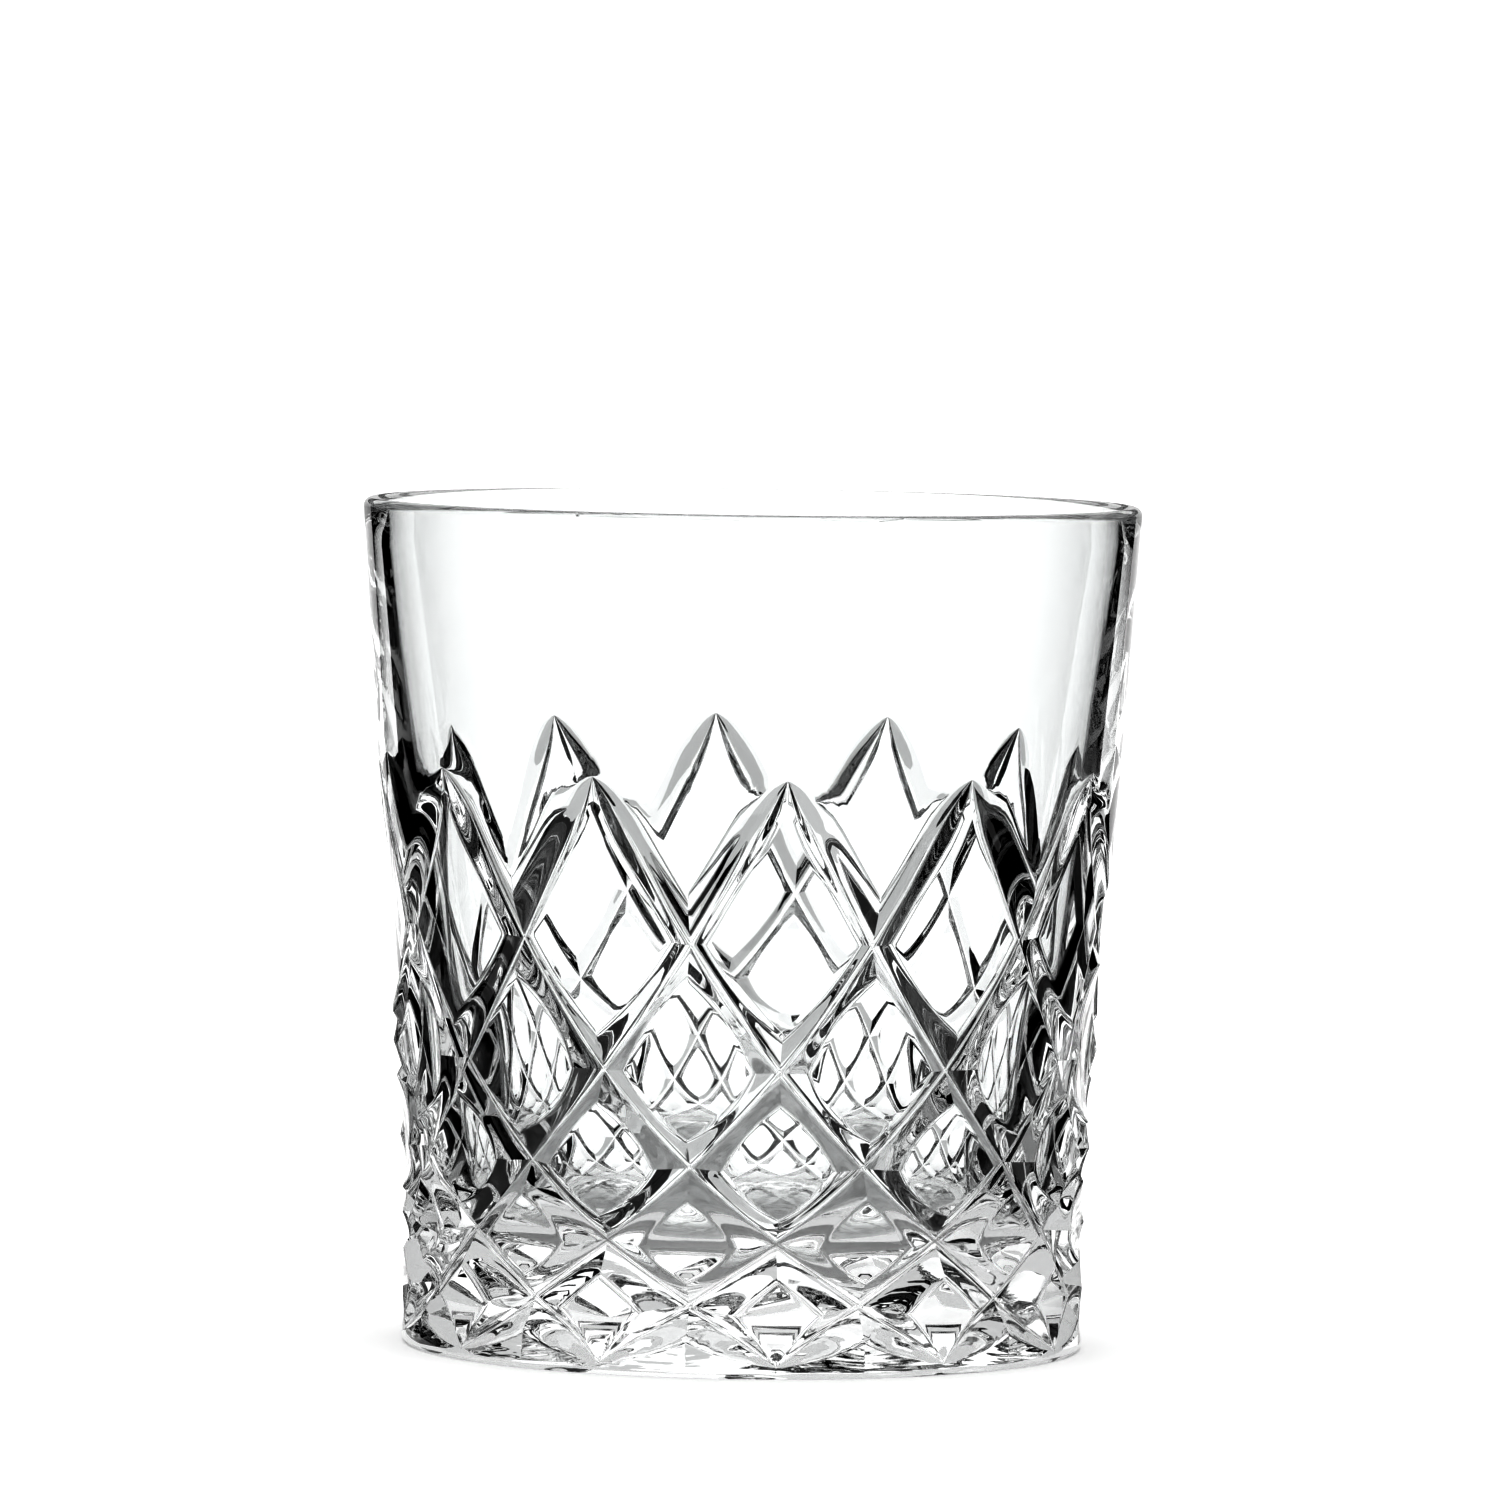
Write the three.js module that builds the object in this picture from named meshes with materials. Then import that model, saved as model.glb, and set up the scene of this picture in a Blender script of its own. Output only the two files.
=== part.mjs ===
// Cut-crystal whiskey tumbler: one piece of glass, in millimetres, +Z up, resting on z = 0.
// The blank is round with a heavy base; the outside is cut with two crossing families of V-grooves,
// and the diamonds left between them are ground hollow.
import * as THREE from "three";

// Blank, before cutting
const HEIGHT = 95;
const RIM_RADIUS = 43.8; // outside, at the rim
const OUTER_TAPER = 0.067; // outside radius gained per mm of height
const FOOT_RADIUS = 38.3; // the outside turns nearly upright as it comes down to this
const FOOT_BLEND = 0.3;
const LIP_WALL = 1.9; // wall thickness under the rounded lip
const INNER_TAPER = 0.136; // inside radius gained per mm of height
const FLOOR_Z = 12.5; // inside floor
const FLOOR_CORNER = 7; // radius between the floor and the inside wall
const EDGE_CHAMFER = 0.5; // at the foot
const HOLLOW_RADIUS = 31; // shallow hollow inside the resting ring
const HOLLOW_DEPTH = 0.6;

// Cut pattern
const GROOVES = 12; // in each of the two families
const PATTERN_TURN = THREE.MathUtils.degToRad(5.8);
const ROWS = 6; // crossings along a groove, from its tip below the plain wall to the foot
const TIP_Z = 66;
const ROW_DROP = 20.9; // steepness of a groove at its tip, mm per row
const ROW_EASE = 2.7; // how the steepness eases with each row
const ROW_STEADY = 0.169; // and holds near the foot
const UPPER_FLANK = 2.5; // groove flank above the valley, at the first crossing
const UPPER_GAIN = -0.05; // change per row
const LOWER_FLANK = 2.0; // groove flank below the valley, at the first crossing
const LOWER_GAIN = 0.4;
const DEPTH_PER_FLANK = 0.9; // how deep a flank goes for its width
const VALLEY_ROUND = 0.1; // share of that depth lost to the rounding in the valley
const TIP_RUNOUT = 0.36; // rows over which a groove opens from its tip
const FOOT_RUNOUT = 0.95; // rows over which it closes at the foot
const HOLLOW_ACROSS = [0, 0.3, 1.7, 1.3, 0.8, 0.2, 0]; // a face sinks this far from its side corners, by row
const HOLLOW_UP = [0, 0.95, 1.6, 1.2, 0.7, 0.2, 0]; // and this far from its top and bottom corners

// Facet counts
const FLANK_STEPS = 1;
const FACE_STEPS = 4;
const PLAIN_WALL_STEPS = 4;
const LIP_STEPS = 6;
const INNER_WALL_STEPS = 6;
const CORNER_STEPS = 5;
const FLOOR_STEPS = 2;
const HOLLOW_STEPS = 3;
const SETTLING_PASSES = 40; // for the flank widths of two crossing grooves to agree

const ROW_ANGLE = Math.PI / GROOVES;
const LIP_RADIUS = LIP_WALL / 2;
const LIP_Z = HEIGHT - LIP_RADIUS;
const range = (count) => Array.from({ length: count }, (_, i) => i);

function outerRadius(z) {
  const above = RIM_RADIUS - OUTER_TAPER * (HEIGHT - z) - FOOT_RADIUS;
  return FOOT_RADIUS + (above + Math.hypot(above, FOOT_BLEND)) / 2;
}

const rowHeight = (row) => TIP_Z - row * (ROW_DROP - row * (ROW_EASE - row * ROW_STEADY));
const rowSlope = (row) => ROW_DROP - row * (2 * ROW_EASE - row * 3 * ROW_STEADY);

// How far a groove is open at a row, with a rounded run-out at each end.
function opening(row) {
  const fromTip = THREE.MathUtils.clamp(row / TIP_RUNOUT, 0, 1);
  const fromFoot = THREE.MathUtils.clamp((ROWS - row) / FOOT_RUNOUT, 0, 1);
  return fromTip * (2 - fromTip) * fromFoot * (2 - fromFoot);
}

// A flank's width as a share of the spacing between neighbouring grooves of one family.
function flankShare(width, row) {
  const across = outerRadius(rowHeight(row)) * ROW_ANGLE;
  const down = rowSlope(row);
  return (opening(row) * width * Math.hypot(across, down)) / (2 * across * down);
}
const upperFlank = (row) => flankShare(UPPER_FLANK + UPPER_GAIN * (row - 1), row);
const lowerFlank = (row) => flankShare(LOWER_FLANK + LOWER_GAIN * (row - 1), row);

function valleyDepth(row) {
  const flank = (UPPER_FLANK + LOWER_FLANK + (UPPER_GAIN + LOWER_GAIN) * (row - 1)) / 2;
  return (1 - VALLEY_ROUND) * DEPTH_PER_FLANK * flank * opening(row);
}

// Depth of a cell's hollow face at these shares of the way across it.
function faceDepth(row, pShare, qShare) {
  const [across, up] = [HOLLOW_ACROSS[row], HOLLOW_UP[row]];
  return Math.max(across, up) - across * (pShare + qShare - 1) ** 2 - up * (qShare - pShare) ** 2;
}

// Share a flank takes, which is less where the hollow face beside it has sunk.
function sunkenFlank(flank, valleyRow, row, pShare, qShare, along) {
  const depth = valleyDepth(valleyRow);
  if (depth === 0) return 0;
  const sunk = faceDepth(row, pShare, qShare) * Math.min(along, 3 - along, 1);
  return flank(valleyRow) * (1 - sunk / depth);
}

const polar = (radius, angle, z) =>
  new THREE.Vector3(radius * Math.sin(angle), -radius * Math.cos(angle), z);

// Place across a cell at a step from 0 to 3: near flank to 1, uncut face to 2, far flank to 3.
function placeAcross(step, near, far) {
  if (step <= 1) return step * near;
  if (step >= 2) return 1 - (3 - step) * far;
  return near + (step - 1) * (1 - near - far);
}
const cutAcross = (step) => Math.max(1 - step, step - 2, 0);

// A point of the cell whose left corner lies on the given row, at steps p along the falling
// grooves' spacing and q along the rising ones'. Also gives its angle and height for joining on.
function cellPoint(cell, row, p, q) {
  let [a, b] = [0.5, 0.5];
  const pShare = THREE.MathUtils.clamp(p - 1, 0, 1);
  const qShare = THREE.MathUtils.clamp(q - 1, 0, 1);
  for (let pass = 0; pass < SETTLING_PASSES; pass++) {
    const left = sunkenFlank(upperFlank, row + b, row, 0, qShare, q);
    const right = sunkenFlank(lowerFlank, row - 1 + b, row, 1, qShare, q);
    const top = sunkenFlank(lowerFlank, row - a, row, pShare, 0, p);
    const bottom = sunkenFlank(upperFlank, row + 1 - a, row, pShare, 1, p);
    a = placeAcross(p, left, right);
    b = placeAcross(q, top, bottom);
  }
  const here = row + b - a;
  const angle = PATTERN_TURN + (2 * cell + row + a + b) * ROW_ANGLE;
  const z = rowHeight(here);
  const face = faceDepth(row, pShare, qShare);
  const cut = Math.max(cutAcross(p), cutAcross(q));
  const depth = face + cut * (valleyDepth(here) - face);
  return { angle, z, point: polar(outerRadius(z) - depth, angle, z) };
}

const steps = (from, count) => range(count + 1).map((i) => from + i / count);

// The surface is gathered as triangles; those squeezed to nothing at a groove's tip are left out.
const triangles = [];
function addTriangle(...corners) {
  const [p, q, r] = corners;
  const squeezed = (one, other) => one.distanceToSquared(other) < 1e-10;
  if (squeezed(p, q) || squeezed(q, r) || squeezed(r, p)) return;
  triangles.push(...corners);
}

// Facets over grid[i][j], seen from outside with i to the right and j upwards.
function addGrid(grid, rising = true) {
  for (let i = 0; i + 1 < grid.length; i++) {
    for (let j = 0; j + 1 < grid[i].length; j++) {
      const [low, lowNext] = [grid[i][j], grid[i + 1][j]];
      const [high, highNext] = [grid[i][j + 1], grid[i + 1][j + 1]];
      if (rising) {
        addTriangle(low, lowNext, highNext);
        addTriangle(low, highNext, high);
      } else {
        addTriangle(low, lowNext, high);
        addTriangle(lowNext, highNext, high);
      }
    }
  }
}

// One of the nine zones of a cell: flank, face or flank each way. Where two flanks cross, the
// facets are split along the mitre between them.
function addZone(cell, row, pZone, qZone) {
  const pSteps = steps(pZone, pZone === 1 ? FACE_STEPS : FLANK_STEPS);
  const qSteps = steps(qZone, qZone === 1 ? FACE_STEPS : FLANK_STEPS);
  const grid = qSteps.map((q) => pSteps.map((p) => cellPoint(cell, row, p, q).point));
  addGrid(grid, pZone === qZone);
}

function addDiamond(cell, row) {
  for (const pZone of range(3)) {
    for (const qZone of range(3)) addZone(cell, row, pZone, qZone);
  }
}

// The two grooves that fall from neighbouring tips to their first crossing.
function addTipGrooves(cell) {
  addZone(cell, 0, 0, 1);
  addZone(cell, 0, 0, 2);
  addZone(cell, 0, 1, 2);
}

// The two grooves that part from the last crossing and run out at the foot.
function addFootGrooves(cell) {
  addZone(cell, ROWS, 1, 0);
  addZone(cell, ROWS, 2, 0);
  addZone(cell, ROWS, 2, 1);
}

// Edge of the plain wall along those tip grooves, from left to right.
function plainWallEdge(cell) {
  const falling = steps(1, FACE_STEPS).map((q) => cellPoint(cell, 0, 1, q));
  const rising = steps(1, FACE_STEPS).map((p) => cellPoint(cell, 0, p, 2));
  return [...falling, ...rising.slice(1)];
}

// Edge of the plain foot along the foot grooves, from left to right.
function footEdge(cell) {
  const rising = steps(1, FACE_STEPS).map((p) => cellPoint(cell, ROWS, p, 1));
  const falling = steps(1, FACE_STEPS).map((q) => cellPoint(cell, ROWS, 2, q));
  return [...rising, ...falling.slice(1)];
}

// Radius and height from the lip over the rim, down the inside and to the middle of the floor.
function insideProfile() {
  const lipCentre = outerRadius(LIP_Z) - LIP_RADIUS;
  const wallTop = lipCentre - LIP_RADIUS;
  const lip = range(LIP_STEPS + 1).map((i) => {
    const turn = (Math.PI * i) / LIP_STEPS;
    return [lipCentre + LIP_RADIUS * Math.cos(turn), LIP_Z + LIP_RADIUS * Math.sin(turn)];
  });
  const wallTurn = Math.atan(1 / INNER_TAPER);
  const cornerZ = FLOOR_Z + FLOOR_CORNER;
  const cornerTopZ = cornerZ - FLOOR_CORNER * Math.cos(wallTurn);
  const cornerTop = wallTop - INNER_TAPER * (LIP_Z - cornerTopZ);
  const cornerCentre = cornerTop - FLOOR_CORNER * Math.sin(wallTurn);
  const wall = range(INNER_WALL_STEPS - 1).map((i) => {
    const down = (i + 1) / INNER_WALL_STEPS;
    return [wallTop + (cornerTop - wallTop) * down, LIP_Z + (cornerTopZ - LIP_Z) * down];
  });
  const corner = range(CORNER_STEPS + 1).map((i) => {
    const turn = wallTurn * (1 - i / CORNER_STEPS);
    return [
      cornerCentre + FLOOR_CORNER * Math.sin(turn),
      cornerZ - FLOOR_CORNER * Math.cos(turn),
    ];
  });
  const floor = range(FLOOR_STEPS).map((i) => [
    cornerCentre * (1 - (i + 1) / FLOOR_STEPS),
    FLOOR_Z,
  ]);
  return [...lip, ...wall, ...corner, ...floor];
}

// Radius and height from the foot's chamfer, over the resting ring and across the hollow.
function undersideProfile() {
  const foot = outerRadius(EDGE_CHAMFER);
  const hollow = range(HOLLOW_STEPS + 1).map((i) => {
    const radius = HOLLOW_RADIUS * (1 - i / HOLLOW_STEPS);
    return [radius, HOLLOW_DEPTH * (1 - (radius / HOLLOW_RADIUS) ** 2)];
  });
  return [[foot, EDGE_CHAMFER], [foot - EDGE_CHAMFER, 0], ...hollow];
}

// From the cut edge up the plain wall, over the rim and down the inside.
function addPlainWall(cell, inside) {
  const columns = plainWallEdge(cell).map(({ angle, z }) => {
    const wall = range(PLAIN_WALL_STEPS).map((i) => {
      const height = z + ((LIP_Z - z) * i) / PLAIN_WALL_STEPS;
      return polar(outerRadius(height), angle, height);
    });
    return [...wall, ...inside.map(([radius, height]) => polar(radius, angle, height))];
  });
  addGrid(columns);
}

// From the cut edge down the foot and under to the middle.
function addFoot(cell, underside) {
  const columns = footEdge(cell).map(({ angle, point }) => {
    const below = underside.map(([radius, height]) => polar(radius, angle, height));
    return [point, ...below].reverse();
  });
  addGrid(columns);
}

function cutBody() {
  const inside = insideProfile();
  const underside = undersideProfile();
  for (const cell of range(GROOVES)) {
    addPlainWall(cell, inside);
    addTipGrooves(cell);
    for (const row of range(ROWS - 1)) addDiamond(cell, row + 1);
    addFootGrooves(cell);
    addFoot(cell, underside);
  }
  return new THREE.BufferGeometry().setFromPoints(triangles);
}

function crystal() {
  return new THREE.MeshStandardMaterial({
    name: "crystal",
    color: 0xdfe8ea,
    roughness: 0.05,
    metalness: 0,
  });
}

const tumbler = new THREE.Group();
const body = new THREE.Mesh(cutBody(), crystal());
body.name = "crystal_body";
tumbler.add(body);

export default tumbler;
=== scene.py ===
import math

import bpy
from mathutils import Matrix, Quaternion, Vector


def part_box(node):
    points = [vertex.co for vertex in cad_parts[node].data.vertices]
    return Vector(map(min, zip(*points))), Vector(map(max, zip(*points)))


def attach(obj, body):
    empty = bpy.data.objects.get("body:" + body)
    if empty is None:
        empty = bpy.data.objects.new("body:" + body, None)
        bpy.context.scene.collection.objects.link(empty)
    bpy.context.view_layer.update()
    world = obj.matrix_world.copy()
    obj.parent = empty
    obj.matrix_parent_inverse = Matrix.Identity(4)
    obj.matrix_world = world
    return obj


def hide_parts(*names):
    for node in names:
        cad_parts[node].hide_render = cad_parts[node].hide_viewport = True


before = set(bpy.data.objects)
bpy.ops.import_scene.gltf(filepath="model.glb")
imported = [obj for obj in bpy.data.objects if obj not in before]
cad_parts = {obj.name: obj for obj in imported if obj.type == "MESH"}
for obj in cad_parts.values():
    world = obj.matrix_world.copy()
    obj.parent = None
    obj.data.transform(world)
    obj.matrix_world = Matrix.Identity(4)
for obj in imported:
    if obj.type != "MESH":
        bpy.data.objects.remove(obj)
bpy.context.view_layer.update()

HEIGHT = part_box("crystal_body")[1].z
MM = HEIGHT / 95  # the glass is 95 mm tall, and the sizes below are its millimetres

# Blank, before cutting
RIM_RADIUS = 43.8 * MM
OUTER_TAPER = 0.067  # outside radius gained per unit of height
FOOT_RADIUS = 38.3 * MM
FOOT_BLEND = 0.3 * MM
LIP_WALL = 1.9 * MM
INNER_TAPER = 0.136
FLOOR_Z = 12.5 * MM
FLOOR_CORNER = 7 * MM
EDGE_CHAMFER = 0.5 * MM
HOLLOW_RADIUS = 31 * MM
HOLLOW_DEPTH = 0.6 * MM

# Cut pattern: two families of V-grooves that cross in rows
GROOVES = 12
PATTERN_TURN = math.radians(5.8)
ROWS = 6
TIP_Z = 66 * MM
ROW_DROP = 20.9 * MM
ROW_EASE = 2.7 * MM
ROW_STEADY = 0.169 * MM
UPPER_FLANK = 2.5 * MM
UPPER_GAIN = -0.05 * MM
LOWER_FLANK = 2.0 * MM
LOWER_GAIN = 0.4 * MM
DEPTH_PER_FLANK = 0.9
TIP_RUNOUT = 0.36
FOOT_RUNOUT = 0.95
# How far, row by row, a face sinks from its side corners and from its top and bottom corners
HOLLOW_ACROSS = (0, 0.3, 1.7, 1.3, 0.8, 0.2, 0)
HOLLOW_UP = (0, 0.95, 1.6, 1.2, 0.7, 0.2, 0)
EDGE_ROUND = 0.3 * MM  # depth over which a flank rounds into a face
WALL_EDGE_ROUND = 0.7 * MM  # and into the plain wall
VALLEY_ROUND = 0.1  # share of a flank

# Look of the glass
REFRACTION = 1.545
WALL_RIPPLE = 0.004 * MM  # height of the ripple left by polishing
WALL_RIPPLE_SCALE = 90
FLOOR_RIPPLE = 0.05 * MM  # added on the floor and the underside
FLOOR_RIPPLE_SCALE = 260
RIPPLED_RADIUS = 30 * MM  # the floor's ripple is full inside this radius and below this height
RIPPLED_HEIGHT = 14 * MM
RIPPLE_FADE = 4 * MM
DARKEST_TINT = (0.975, 0.985, 0.985, 1)
LIGHTEST_TINT = (0.995, 0.998, 0.998, 1)

# Mesh fineness
FLANK_STEPS = 8
FACE_STEPS = 14
PLAIN_WALL_STEPS = 24
LIP_STEPS = 16
INNER_WALL_STEPS = 40
CORNER_STEPS = 16
FLOOR_STEPS = 12
HOLLOW_STEPS = 12
SETTLING_PASSES = 40
CREASE_ANGLE = math.radians(25)
WELD = 1e-7

ROW_ANGLE = math.pi / GROOVES
SECTOR = 2 * ROW_ANGLE
LIP_RADIUS = LIP_WALL / 2
LIP_Z = HEIGHT - LIP_RADIUS

# Camera, as in the photograph
CAMERA_DISTANCE = 1.368
CAMERA_HEIGHT = 0.1427
CAMERA_PITCH = math.radians(3.166)
CAMERA_YAW = math.radians(0.0015)
CAMERA_ROLL = math.radians(0.818)
FOCAL_SHARE = 12180 / 1500  # focal length over the frame's width
SENSOR = 36

# Studio
FLOOR_REACH = 6
FLOOR_GREY = 0.9
FLOOR_GLOW = 0.27
WHITE = 1.2  # the background's brightness
CONTRAST = 0.55  # the photograph's hard contrast, as a gamma
GLASS_BOUNCES = 32
OTHER_BOUNCES = 16

# Cards, placed from the glass's axis and from the middle of the camera's view
CARD_GAP = 0.055  # out to a side card
CARD_FRONT = 0.13  # forward to the front card, where the side cards start
CARD_BEND = 0.02  # back to where the side cards turn outwards
CARD_BACK = 0.53  # back to their far ends
CARD_SPREAD = 0.3  # out to their far ends
CARD_TOP = 0.12
CARD_BOTTOM = -0.25
HOOD_BACK = 0.35  # back to the hood, above the white background
HOOD_LOW = 0.085
HOOD_HALF_WIDTH = 0.25
DUSK_LOW = 0.03  # from here up to the hood the background is a little darker
DUSK = 0.8
STRIPS = 3  # overhead
STRIP_SHARE = 0.25  # of the space overhead, the rest is white
FLAG_NEAR = 0.044  # flags lying left and right of the foot
FLAG_FAR = 0.14
FLAG_HALF_DEPTH = 0.05
FLAG_HEIGHT = 0.001


# ---- Shape of the glass ----

def clamp(value):
    return min(max(value, 0), 1)


def outer_radius(z):
    above = RIM_RADIUS - OUTER_TAPER * (HEIGHT - z) - FOOT_RADIUS
    return FOOT_RADIUS + (above + math.hypot(above, FOOT_BLEND)) / 2


def row_height(row):
    return TIP_Z - row * (ROW_DROP - row * (ROW_EASE - row * ROW_STEADY))


def row_slope(row):
    return ROW_DROP - row * (2 * ROW_EASE - row * 3 * ROW_STEADY)


def opening(row):
    """How far a groove is open at a row, with a rounded run-out at each end."""
    from_tip = clamp(row / TIP_RUNOUT)
    from_foot = clamp((ROWS - row) / FOOT_RUNOUT)
    return from_tip * (2 - from_tip) * from_foot * (2 - from_foot)


def flank_share(width, row):
    """A flank's width as a share of the spacing between neighbouring grooves of one family."""
    across = outer_radius(row_height(row)) * ROW_ANGLE
    down = row_slope(row)
    return opening(row) * width * math.hypot(across, down) / (2 * across * down)


def upper_flank(row):
    return flank_share(UPPER_FLANK + UPPER_GAIN * (row - 1), row)


def lower_flank(row):
    return flank_share(LOWER_FLANK + LOWER_GAIN * (row - 1), row)


def valley_depth(row):
    flank = (UPPER_FLANK + LOWER_FLANK + (UPPER_GAIN + LOWER_GAIN) * (row - 1)) / 2
    return DEPTH_PER_FLANK * flank * opening(row)


def face_depth(row, p_share, q_share):
    """Depth of a cell's hollow face at these shares of the way across it."""
    across = HOLLOW_ACROSS[row] * MM
    up = HOLLOW_UP[row] * MM
    return max(across, up) - across * (p_share + q_share - 1) ** 2 - up * (q_share - p_share) ** 2


def polar(radius, angle, z):
    return Vector((radius * math.sin(angle), -radius * math.cos(angle), z))


def place_across(step, near, far):
    """Place across a cell at a step from 0 to 3: near flank to 1, uncut face to 2, far flank to 3."""
    if step <= 1:
        return step * near
    if step >= 2:
        return 1 - (3 - step) * far
    return near + (step - 1) * (1 - near - far)


def sunken_flank(flank, valley_row, row, p_share, q_share, along):
    """Share a flank takes, which is less where the hollow face beside it has sunk."""
    depth = valley_depth(valley_row)
    if depth == 0:
        return 0
    sunk = face_depth(row, p_share, q_share) * min(along, 3 - along, 1)
    return flank(valley_row) * (1 - sunk / depth)


def groove_depth(row, a, b):
    """Depth of the deepest groove at a place in a cell, with a rounded valley."""
    grooves = (
        (a, upper_flank(row + b)),
        (1 - a, lower_flank(row - 1 + b)),
        (b, lower_flank(row - a)),
        (1 - b, upper_flank(row + 1 - a)),
    )
    sides = [math.hypot(away / flank, VALLEY_ROUND) for away, flank in grooves if flank > 0]
    return valley_depth(row + b - a) * (1 - min(sides, default=1))


def rounded_max(one, other, reach):
    """The larger of two depths, with a rounded change from one to the other."""
    overlap = reach - abs(one - other)
    if overlap <= 0:
        return max(one, other)
    return max(one, other) + overlap ** 2 / (4 * reach)


def cell_place(row, p, q):
    """Coordinates a, b at steps p and q across a cell, and the shares of the way across its face."""
    a, b = 0.5, 0.5
    p_share, q_share = clamp(p - 1), clamp(q - 1)
    for _ in range(SETTLING_PASSES):
        left = sunken_flank(upper_flank, row + b, row, 0, q_share, q)
        right = sunken_flank(lower_flank, row - 1 + b, row, 1, q_share, q)
        top = sunken_flank(lower_flank, row - a, row, p_share, 0, p)
        bottom = sunken_flank(upper_flank, row + 1 - a, row, p_share, 1, p)
        a = place_across(p, left, right)
        b = place_across(q, top, bottom)
    return a, b, (a - left) / (1 - left - right), (b - top) / (1 - top - bottom)


def point_at(row, a, b, depth):
    """Point at a place in a cell, this deep below the uncut blank."""
    z = row_height(row + b - a)
    return polar(outer_radius(z) - depth, PATTERN_TURN + (row + a + b) * ROW_ANGLE, z)


def cell_point(row, p, q):
    """Point at steps p and q across the cell whose left corner is on this row."""
    a, b, p_across, q_across = cell_place(row, p, q)
    if row == 0:
        return wall_point(a, b)
    nearest_face = face_depth(row, clamp(p - 1), clamp(q - 1))
    room = valley_depth(row + b - a) * (1 - VALLEY_ROUND) - nearest_face
    face = face_depth(row, p_across, q_across)
    return point_at(row, a, b, rounded_max(face, groove_depth(row, a, b), min(room, EDGE_ROUND)))


def wall_point(a, b):
    """Point of the plain wall or of a flank that runs up to it, with a soft edge between them."""
    reach = min(valley_depth(b - a) * (1 - VALLEY_ROUND), WALL_EDGE_ROUND)
    return point_at(0, a, b, rounded_max(0, groove_depth(0, a, b), reach))


def eased_steps(start, count):
    """Steps over one zone, closer together towards its edges."""
    return [start + (1 - math.cos(math.pi * i / count)) / 2 for i in range(count + 1)]


def inside_profile():
    """Radius and height from the lip over the rim, down the inside and to the middle of the floor."""
    lip_centre = outer_radius(LIP_Z) - LIP_RADIUS
    wall_top = lip_centre - LIP_RADIUS
    turns = [math.pi * i / LIP_STEPS for i in range(LIP_STEPS + 1)]
    lip = [(lip_centre + LIP_RADIUS * math.cos(t), LIP_Z + LIP_RADIUS * math.sin(t)) for t in turns]
    wall_turn = math.atan(1 / INNER_TAPER)
    corner_z = FLOOR_Z + FLOOR_CORNER
    corner_top_z = corner_z - FLOOR_CORNER * math.cos(wall_turn)
    corner_top = wall_top - INNER_TAPER * (LIP_Z - corner_top_z)
    corner_centre = corner_top - FLOOR_CORNER * math.sin(wall_turn)
    wall = []
    for i in range(1, INNER_WALL_STEPS):
        down = i / INNER_WALL_STEPS
        wall.append((wall_top + (corner_top - wall_top) * down, LIP_Z + (corner_top_z - LIP_Z) * down))
    corner = []
    for i in range(CORNER_STEPS + 1):
        turn = wall_turn * (1 - i / CORNER_STEPS)
        corner.append((
            corner_centre + FLOOR_CORNER * math.sin(turn),
            corner_z - FLOOR_CORNER * math.cos(turn),
        ))
    floor = [(corner_centre * (1 - (i + 1) / FLOOR_STEPS), FLOOR_Z) for i in range(FLOOR_STEPS)]
    return lip + wall + corner + floor


def underside_profile():
    """Radius and height from the foot's chamfer, over the resting ring and across the hollow."""
    foot = outer_radius(EDGE_CHAMFER)
    hollow = []
    for i in range(HOLLOW_STEPS + 1):
        share = 1 - i / HOLLOW_STEPS
        hollow.append((HOLLOW_RADIUS * share, HOLLOW_DEPTH * (1 - share ** 2)))
    return [(foot, EDGE_CHAMFER), (foot - EDGE_CHAMFER, 0)] + hollow


class Surface:
    """Gathers welded points and the faces between them."""

    def __init__(self):
        self.points = []
        self.faces = []
        self.known = {}

    def index(self, point):
        key = tuple(round(c / WELD) for c in point)
        if key not in self.known:
            self.known[key] = len(self.points)
            self.points.append(point)
        return self.known[key]

    def face(self, corners):
        """Adds a face, without the corners that fall together at a groove's tip."""
        loop = []
        for corner in corners:
            i = self.index(corner)
            if i not in loop:
                loop.append(i)
        if len(loop) > 2:
            self.faces.append(loop)

    def grid(self, points, split=None):
        """Faces over points[i][j], seen from outside with i to the right and j upwards."""
        for i in range(len(points) - 1):
            for j in range(len(points[i]) - 1):
                low, low_next = points[i][j], points[i + 1][j]
                high, high_next = points[i][j + 1], points[i + 1][j + 1]
                if split == "rising" and i == j:
                    self.face((low, low_next, high_next))
                    self.face((low, high_next, high))
                elif split == "falling" and i + j == len(points) - 2:
                    self.face((low, low_next, high))
                    self.face((low_next, high_next, high))
                else:
                    self.face((low, low_next, high_next, high))


def add_zone(surface, row, p_zone, q_zone):
    """One of the nine zones of a cell. Crossing flanks are split along the mitre between them."""
    p_steps = eased_steps(p_zone, FACE_STEPS if p_zone == 1 else FLANK_STEPS)
    q_steps = eased_steps(q_zone, FACE_STEPS if q_zone == 1 else FLANK_STEPS)
    points = [[cell_point(row, p, q) for p in p_steps] for q in q_steps]
    split = None
    if p_zone != 1 and q_zone != 1:
        split = "rising" if p_zone == q_zone else "falling"
    surface.grid(points, split)


def row_at_height(z):
    """The row_height function turned round, by Newton's steps."""
    row = 0
    for _ in range(SETTLING_PASSES):
        row += (row_height(row) - z) / row_slope(row)
    return row


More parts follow.
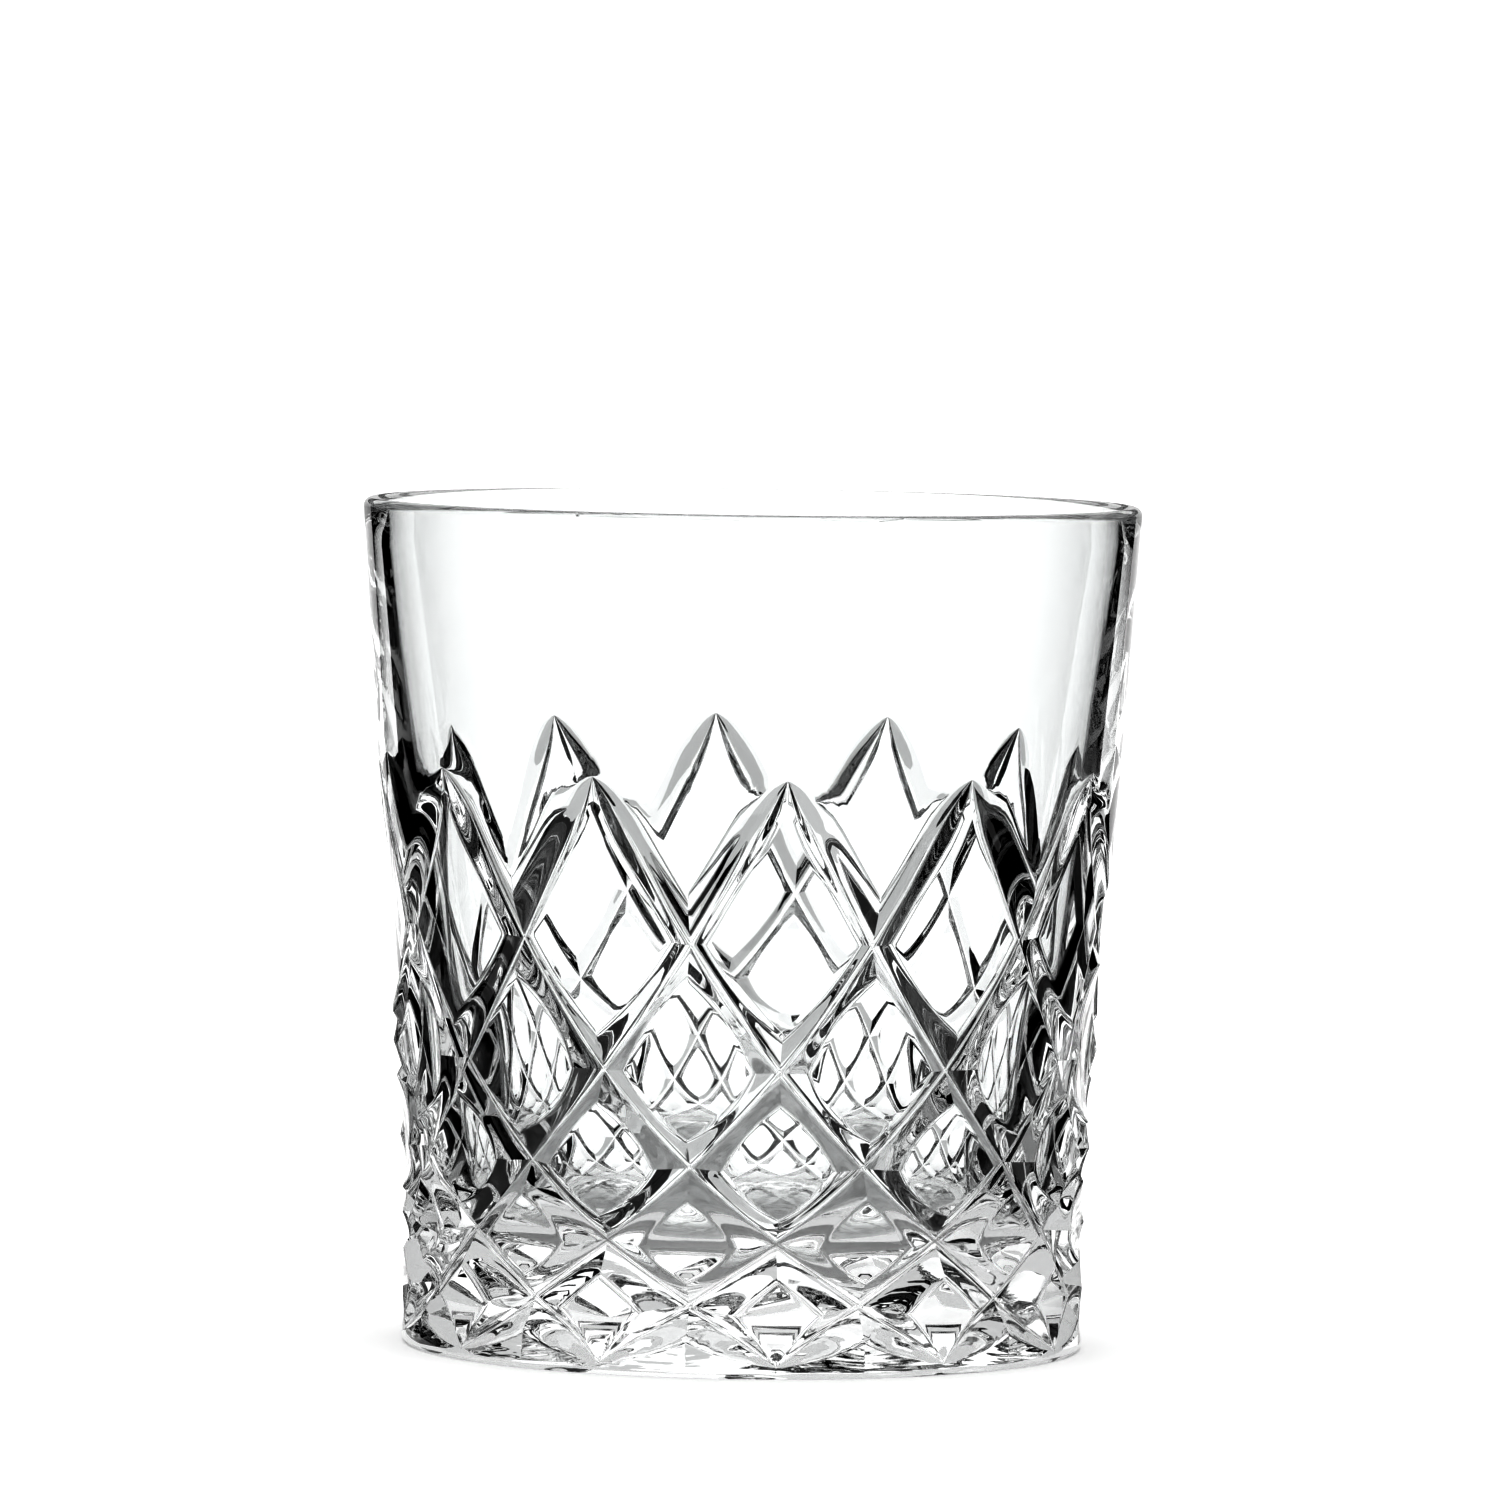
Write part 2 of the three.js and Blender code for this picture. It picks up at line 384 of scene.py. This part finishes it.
def plain_wall_columns(inside):
    """From the cut edge up the plain wall, over the rim and down the inside."""
    face_steps = eased_steps(1, FACE_STEPS)
    cut_edge = [(1, q) for q in face_steps] + [(p, 2) for p in face_steps[1:]]
    columns = []
    for p, q in cut_edge:
        a, b = cell_place(0, p, q)[:2]
        rise = (b - a - row_at_height(LIP_Z)) / 2
        rises = [rise * (i / PLAIN_WALL_STEPS) ** 2 for i in range(PLAIN_WALL_STEPS)]
        angle = PATTERN_TURN + (a + b) * ROW_ANGLE
        wall = [wall_point(a + up, b - up) for up in rises]
        columns.append(wall + [polar(radius, angle, height) for radius, height in inside])
    return columns


def foot_columns(underside):
    """From the middle of the underside out to the foot and up to the cut edge."""
    face_steps = eased_steps(1, FACE_STEPS)
    cut_edge = [(p, 1) for p in face_steps] + [(2, q) for q in face_steps[1:]]
    columns = []
    for p, q in cut_edge:
        a, b = cell_place(ROWS, p, q)[:2]
        angle = PATTERN_TURN + (ROWS + a + b) * ROW_ANGLE
        below = [polar(radius, angle, height) for radius, height in underside]
        columns.append(list(reversed([cell_point(ROWS, p, q)] + below)))
    return columns


def add_sector(surface):
    """One groove spacing of the glass, from the middle of the floor to the middle of the underside."""
    surface.grid(plain_wall_columns(inside_profile()))
    for zone in ((0, 1), (0, 2), (1, 2)):
        add_zone(surface, 0, *zone)
    for row in range(1, ROWS):
        for p_zone in range(3):
            for q_zone in range(3):
                add_zone(surface, row, p_zone, q_zone)
    for zone in ((1, 0), (2, 0), (2, 1)):
        add_zone(surface, ROWS, *zone)
    surface.grid(foot_columns(underside_profile()))


def turned(point, turn):
    x = point.x * math.cos(turn) - point.y * math.sin(turn)
    y = point.x * math.sin(turn) + point.y * math.cos(turn)
    return Vector((x, y, point.z))


def glass_mesh():
    sector = Surface()
    add_sector(sector)
    whole = Surface()
    for copy in range(GROOVES):
        ring = [turned(point, copy * SECTOR) for point in sector.points]
        for face in sector.faces:
            whole.face([ring[i] for i in face])
    mesh = bpy.data.meshes.new("tumbler")
    mesh.from_pydata(whole.points, [], whole.faces)
    mesh.update()
    mesh.shade_smooth()
    mesh.set_sharp_from_angle(angle=CREASE_ANGLE)
    return mesh


# ---- Look of the glass ----

def add_node(tree, kind, inputs, **settings):
    """A new node; each input is a plain value or another node's output."""
    node = tree.nodes.new(kind)
    for name, value in settings.items():
        setattr(node, name, value)
    for socket, value in inputs.items():
        if isinstance(value, bpy.types.NodeSocket):
            tree.links.new(value, node.inputs[socket])
        else:
            node.inputs[socket].default_value = value
    return node


def combine(tree, operation, *values):
    return add_node(tree, "ShaderNodeMath", dict(enumerate(values)), operation=operation).outputs["Value"]


def below_limit(tree, value, limit):
    """1 below the limit, fading to 0 above it."""
    inputs = {"Value": value, "From Min": limit + RIPPLE_FADE, "From Max": limit}
    return add_node(tree, "ShaderNodeMapRange", inputs).outputs["Result"]


def polishing_ripple(tree, place):
    """Unevenness all over the glass, and the ripple's height: finer and deeper on floor and underside."""
    wide_inputs = {"Vector": place, "Scale": WALL_RIPPLE_SCALE, "Detail": 2}
    wide = add_node(tree, "ShaderNodeTexNoise", wide_inputs).outputs["Fac"]
    fine_inputs = {"Vector": place, "Scale": FLOOR_RIPPLE_SCALE, "Detail": 1}
    fine = add_node(tree, "ShaderNodeTexNoise", fine_inputs).outputs["Fac"]
    flat = add_node(tree, "ShaderNodeVectorMath", {0: place, 1: (1, 1, 0)}, operation="MULTIPLY")
    radius = add_node(tree, "ShaderNodeVectorMath", {0: flat.outputs["Vector"]}, operation="LENGTH")
    height = add_node(tree, "ShaderNodeSeparateXYZ", {"Vector": place}).outputs["Z"]
    inside = below_limit(tree, radius.outputs["Value"], RIPPLED_RADIUS)
    low = below_limit(tree, height, RIPPLED_HEIGHT)
    floor_ripple = combine(tree, "MULTIPLY", combine(tree, "MULTIPLY", inside, low), FLOOR_RIPPLE)
    fine_height = combine(tree, "MULTIPLY", fine, floor_ripple)
    return wide, combine(tree, "MULTIPLY_ADD", wide, WALL_RIPPLE, fine_height)


def crystal():
    """Clear polished crystal: faint unevenness of colour and a slight ripple from polishing."""
    material = bpy.data.materials.new("crystal")
    material.use_nodes = True
    tree = material.node_tree
    shader = tree.nodes["Principled BSDF"]
    shader.inputs["Transmission Weight"].default_value = 1.0
    shader.inputs["IOR"].default_value = REFRACTION
    shader.inputs["Roughness"].default_value = 0.0
    place = add_node(tree, "ShaderNodeTexCoord", {}).outputs["Object"]
    unevenness, height = polishing_ripple(tree, place)
    bump = add_node(tree, "ShaderNodeBump", {"Height": height, "Strength": 1, "Distance": 1})
    tint = add_node(tree, "ShaderNodeValToRGB", {"Fac": unevenness})
    tint.color_ramp.elements[0].color = DARKEST_TINT
    tint.color_ramp.elements[1].color = LIGHTEST_TINT
    tree.links.new(tint.outputs["Color"], shader.inputs["Base Color"])
    tree.links.new(bump.outputs["Normal"], shader.inputs["Normal"])
    return material


def make_glass():
    glass = bpy.data.objects.new("tumbler", glass_mesh())
    bpy.context.scene.collection.objects.link(glass)
    glass.data.materials.append(crystal())
    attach(glass, "root")
    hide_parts("crystal_body")


# ---- Studio ----

def plain_material(name, grey, glow):
    """A matt grey that may also give off white light."""
    material = bpy.data.materials.new(name)
    material.use_nodes = True
    shader = material.node_tree.nodes["Principled BSDF"]
    shader.inputs["Base Color"].default_value = (grey, grey, grey, 1)
    shader.inputs["Roughness"].default_value = 1.0
    shader.inputs["Specular IOR Level"].default_value = 0.0
    shader.inputs["Emission Color"].default_value = (1, 1, 1, 1)
    shader.inputs["Emission Strength"].default_value = glow
    return material


def stage_object(name, points, faces, material):
    mesh = bpy.data.meshes.new(name)
    mesh.from_pydata(points, [], faces)
    mesh.materials.append(material)
    made = bpy.data.objects.new(name, mesh)
    bpy.context.scene.collection.objects.link(made)
    return made


def make_floor():
    reach = FLOOR_REACH
    corners = [(-reach, -reach, 0), (reach, -reach, 0), (reach, reach, 0), (-reach, reach, 0)]
    material = plain_material("pale_floor", FLOOR_GREY, FLOOR_GLOW)
    stage_object("floor", corners, [range(4)], material)


def make_camera():
    lens = bpy.data.cameras.new("camera")
    lens.sensor_width = SENSOR
    lens.lens = FOCAL_SHARE * SENSOR
    camera = bpy.data.objects.new("camera", lens)
    camera.location = (0, -CAMERA_DISTANCE, CAMERA_HEIGHT)
    forward = Vector((math.sin(CAMERA_YAW), math.cos(CAMERA_YAW), 0)) * math.cos(CAMERA_PITCH)
    forward.z = -math.sin(CAMERA_PITCH)
    camera.rotation_mode = "QUATERNION"
    facing = forward.to_track_quat("-Z", "Y")
    camera.rotation_quaternion = facing @ Quaternion((0, 0, 1), CAMERA_ROLL)
    bpy.context.scene.collection.objects.link(camera)
    bpy.context.scene.camera = camera
    return camera


def upright_card(name, line, low, high, material):
    """A card along this line of places right of and away from the camera, between two heights."""
    points = []
    for right, away in line:
        points += [(right, low, -away), (right, high, -away)]
    faces = [(2 * i, 2 * i + 2, 2 * i + 3, 2 * i + 1) for i in range(len(line) - 1)]
    return stage_object(name, points, faces, material)


def side_and_front_cards(black):
    front = CAMERA_DISTANCE - CARD_FRONT
    front_line = [(-CARD_GAP, front), (CARD_GAP, front)]
    cards = [upright_card("front_card", front_line, CARD_BOTTOM, CARD_TOP, black)]
    for name, side in (("left_card", -1), ("right_card", 1)):
        side_line = [
            (side * CARD_GAP, front),
            (side * CARD_GAP, CAMERA_DISTANCE + CARD_BEND),
            (side * CARD_SPREAD, CAMERA_DISTANCE + CARD_BACK),
        ]
        cards.append(upright_card(name, side_line, CARD_BOTTOM, CARD_TOP, black))
    return cards


def hood_cards(black, dusk):
    """The hood, the slightly darker band under it, and the strips overhead."""
    half = HOOD_HALF_WIDTH
    front = CAMERA_DISTANCE - CARD_FRONT
    hood = CAMERA_DISTANCE + HOOD_BACK
    line = [(-half, hood), (half, hood)]
    cards = [
        upright_card("hood_card", line, HOOD_LOW, CARD_TOP, black),
        upright_card("dusk_card", line, DUSK_LOW, HOOD_LOW, dusk),
    ]
    spacing = (hood - front) / STRIPS
    for i in range(STRIPS):
        near = -(front + i * spacing)
        far = -(front + (i + STRIP_SHARE) * spacing)
        flat_corners = [(-half, near), (half, near), (half, far), (-half, far)]
        corners = [(right, CARD_TOP, depth) for right, depth in flat_corners]
        cards.append(stage_object("overhead_card", corners, [range(4)], black))
    return cards


def floor_flags(camera, black):
    seen_from_camera = camera.matrix_basis.inverted()
    half = FLAG_HALF_DEPTH
    flags = []
    for name, side in (("left_flag", -1), ("right_flag", 1)):
        near = side * FLAG_NEAR
        far = side * FLAG_FAR
        corners = [(near, -half), (far, -half), (far, half), (near, half)]
        points = [seen_from_camera @ Vector((x, y, FLAG_HEIGHT)) for x, y in corners]
        flags.append(stage_object(name, points, [range(4)], black))
    return flags


def make_cards(camera):
    """Cards round the glass, which the glass shows and the camera doesn't. They go round with the
    camera, as if the glass were turned."""
    black = plain_material("black_card", 0, 0)
    dusk = plain_material("dusk_card", 0, DUSK)
    for card in side_and_front_cards(black) + hood_cards(black, dusk) + floor_flags(camera, black):
        card.parent = camera
        card.visible_camera = False
        card.visible_shadow = False
        card.visible_diffuse = False


def set_light():
    scene = bpy.context.scene
    world = bpy.data.worlds.new("studio")
    world.use_nodes = True
    background = world.node_tree.nodes["Background"]
    background.inputs["Color"].default_value = (1, 1, 1, 1)
    background.inputs["Strength"].default_value = WHITE
    scene.world = world
    scene.view_settings.view_transform = "Standard"
    scene.view_settings.gamma = CONTRAST
    scene.cycles.max_bounces = GLASS_BOUNCES
    scene.cycles.transmission_bounces = GLASS_BOUNCES
    scene.cycles.glossy_bounces = OTHER_BOUNCES
    scene.cycles.transparent_max_bounces = OTHER_BOUNCES
    scene.cycles.use_denoising = True


make_glass()
camera = make_camera()
make_floor()
make_cards(camera)
set_light()
